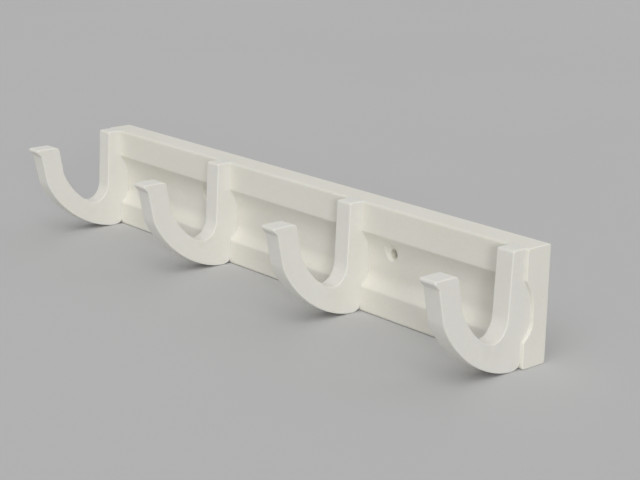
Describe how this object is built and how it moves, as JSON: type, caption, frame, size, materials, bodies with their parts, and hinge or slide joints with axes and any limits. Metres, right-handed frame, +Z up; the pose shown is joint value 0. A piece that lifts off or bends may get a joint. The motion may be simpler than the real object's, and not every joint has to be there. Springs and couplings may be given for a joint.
{
  "type": "door hook rail",
  "caption": "Straight rail for a door or wall with J-shaped hooks along its front, a shallow cove between band and lip, and countersunk fixing holes.",
  "frame": {"origin": "middle of the bounding box, at its base", "axes": "+X along the rail, +Y out of the rail's back towards the door, +Z up"},
  "size_m": [0.25, 0.054, 0.043],
  "materials": {
    "ivory_plastic": "satin moulded ivory plastic with softly rounded edges",
    "screw_steel": "zinc-plated steel"
  },
  "bodies": {
    "root": {"rail": "ivory_plastic", "hook_1": "ivory_plastic", "hook_2": "ivory_plastic", "hook_3": "ivory_plastic", "hook_4": "ivory_plastic", "hook_1_upper_screw": "screw_steel", "hook_1_lower_screw": "screw_steel", "hook_2_upper_screw": "screw_steel", "hook_2_lower_screw": "screw_steel", "hook_3_upper_screw": "screw_steel", "hook_3_lower_screw": "screw_steel", "hook_4_upper_screw": "screw_steel", "hook_4_lower_screw": "screw_steel"}
  },
  "joints": []
}
